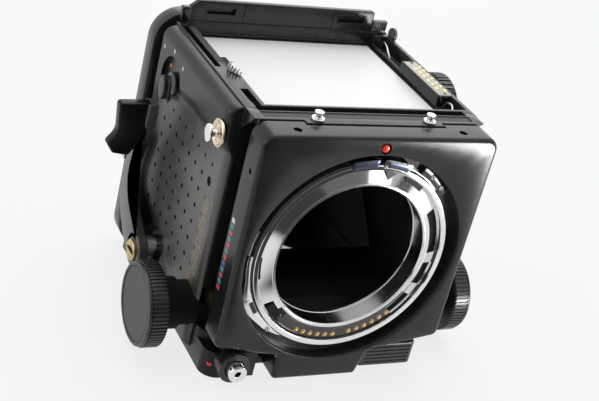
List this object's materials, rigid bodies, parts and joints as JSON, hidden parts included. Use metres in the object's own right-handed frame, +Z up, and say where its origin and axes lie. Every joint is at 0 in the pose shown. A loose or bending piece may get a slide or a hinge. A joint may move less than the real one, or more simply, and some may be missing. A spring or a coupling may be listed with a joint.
{
  "type": "medium format film camera body",
  "caption": "Box-form medium format reflex camera body with a bellows-focused lens panel, focusing screen well and revolving film adapter.",
  "frame": {"origin": "mouth of the tripod socket, in the plane of the base that the camera stands on", "axes": "+Z up, -Y out of the lens mount, +X to the right as one faces the lens mount"},
  "size_m": [0.1492, 0.115, 0.1195],
  "materials": {
    "body_black": "satin black painted shell",
    "cast_black": "black painted die casting",
    "inner_black": "matte black anti-glare paint",
    "knob_black": "moulded black, ribbed",
    "chrome": "polished chrome plating",
    "steel": "plain steel",
    "blued": "dark blued steel",
    "gold": "gold-plated contacts",
    "screen": "matte white focusing screen",
    "mirror_glass": "front-surface mirror",
    "bellows_cloth": "coated black bellows cloth",
    "red_mark": "red enamel",
    "brass": "plain brass",
    "grip_gloss": "gloss black moulding",
    "disc_grey": "charcoal disc",
    "cell": "battery case"
  },
  "bodies": {
    "root": {"mirror_box": "inner_black", "base_casting": "cast_black", "tripod_bush": "steel", "base_screws": "steel", "right_cover": "body_black", "left_cover": "body_black", "top_frame": "cast_black", "finder_shelf": "cast_black", "finder_studs": "chrome", "screen_frame": "inner_black", "focusing_screen": "screen", "screen_clips": "steel", "finder_contact_block": "grip_gloss", "finder_contacts": "gold", "rear_bar": "cast_black", "strap_washers": "brass", "strap_lugs": "steel", "focus_bushes": "cast_black", "mirror_pin": "steel", "release_dot": "red_mark", "battery": "cell", "accessory_shoe": "chrome", "remote_socket": "steel", "revolving_ring": "cast_black", "bellows": "bellows_cloth"},
    "front_standard": {"front_panel": "cast_black", "panel_screws": "inner_black", "index_dot": "red_mark", "mount_flange": "chrome", "seat_ring": "chrome", "throat_tube": "chrome", "mount_screws": "chrome", "contact_carrier": "grip_gloss", "lens_contacts": "gold", "lens_catch": "chrome", "catch_plate": "blued", "right_rack": "brass", "left_rack": "brass"},
    "drive_ring": {"drive_ring": "steel"},
    "focus_drive": {"pinions": "brass", "focus_shaft": "steel", "right_focus_knob": "knob_black", "left_focus_knob": "knob_black", "knob_discs": "disc_grey"},
    "cocking_lever": {"cocking_lever": "cast_black", "lever_grip": "grip_gloss", "lever_screw": "brass"},
    "multi_exposure_lever": {"multi_exposure_lever": "disc_grey"},
    "mirror": {"mirror": "mirror_glass", "mirror_tray": "inner_black"},
    "release_button": {"release_button": "chrome"},
    "release_collar": {"release_collar": "cast_black"},
    "battery_cover": {"battery_cover": "knob_black"},
    "speed_dial": {"speed_dial": "knob_black", "dial_disc": "disc_grey"},
    "focus_lock": {"focus_lock": "knob_black"},
    "finder_release_knob": {"finder_release_knob": "disc_grey"},
    "revolving_adapter": {"revolving_adapter": "cast_black"},
    "right_back_lock": {"right_back_lock": "steel"},
    "left_back_lock": {"left_back_lock": "steel"}
  },
  "joints": [
    {"name": "focus_slide", "type": "slide", "parent": "root", "child": "front_standard", "axis": [0, -1, 0], "range_m": [0, 0.046], "deforming": ["bellows"]},
    {"name": "focus_turn", "type": "hinge", "parent": "root", "child": "focus_drive", "pos_m": [0, -0.0203, 0.01965], "axis": [1, 0, 0], "range_deg": [0, 550]},
    {"name": "drive_turn", "type": "hinge", "parent": "front_standard", "child": "drive_ring", "pos_m": [0, -0.043, 0.0562], "axis": [0, -1, 0], "range_deg": [0, 27.5]},
    {"name": "cocking_turn", "type": "hinge", "parent": "root", "child": "cocking_lever", "pos_m": [-0.0595, 0.018, 0.02], "axis": [1, 0, 0], "range_deg": [0, 65], "stiffness_Nm_per_rad": 0.05, "springref_deg": -17.19},
    {"name": "multi_turn", "type": "hinge", "parent": "root", "child": "multi_exposure_lever", "pos_m": [-0.055, 0.03, 0.0905], "axis": [1, 0, 0], "range_deg": [0, 60]},
    {"name": "mirror_swing", "type": "hinge", "parent": "root", "child": "mirror", "pos_m": [0, 0.036, 0.088], "axis": [-1, 0, 0], "range_deg": [0, 45]},
    {"name": "release_press", "type": "slide", "parent": "root", "child": "release_button", "axis": [0, 1, 0], "range_m": [0, 0.0025], "stiffness_N_per_m": 300},
    {"name": "collar_turn", "type": "hinge", "parent": "root", "child": "release_collar", "pos_m": [-0.04, -0.048, 0.0086], "axis": [0, 1, 0], "range_deg": [-35, 35]},
    {"name": "battery_slide", "type": "slide", "parent": "root", "child": "battery_cover", "axis": [0, -1, 0], "range_m": [0, 0.01]},
    {"name": "dial_turn", "type": "hinge", "parent": "root", "child": "speed_dial", "pos_m": [0.058, 0.011, 0.0925], "axis": [1, 0, 0], "range_deg": [-150, 150]},
    {"name": "focus_lock_turn", "type": "hinge", "parent": "root", "child": "focus_lock", "pos_m": [0.0535, 0.01, 0.016], "axis": [1, 0, 0], "range_deg": [0, 40]},
    {"name": "finder_release_slide", "type": "slide", "parent": "root", "child": "finder_release_knob", "axis": [1, 0, 0], "range_m": [0, 0.0035], "stiffness_N_per_m": 200},
    {"name": "adapter_turn", "type": "hinge", "parent": "root", "child": "revolving_adapter", "pos_m": [0, 0.056, 0.0562], "axis": [0, 1, 0], "range_deg": [0, 90]},
    {"name": "right_lock_slide", "type": "slide", "parent": "revolving_adapter", "child": "right_back_lock", "axis": [0, 0, 1], "range_m": [0, 0.006]},
    {"name": "left_lock_slide", "type": "slide", "parent": "revolving_adapter", "child": "left_back_lock", "axis": [0, 0, 1], "range_m": [0, 0.006]}
  ],
  "couplings": [
    {"joint": "focus_turn", "follows": "focus_slide", "rad_per_m": 208.33},
    {"joint": "drive_turn", "follows": "cocking_turn", "ratio": 0.41538}
  ]
}
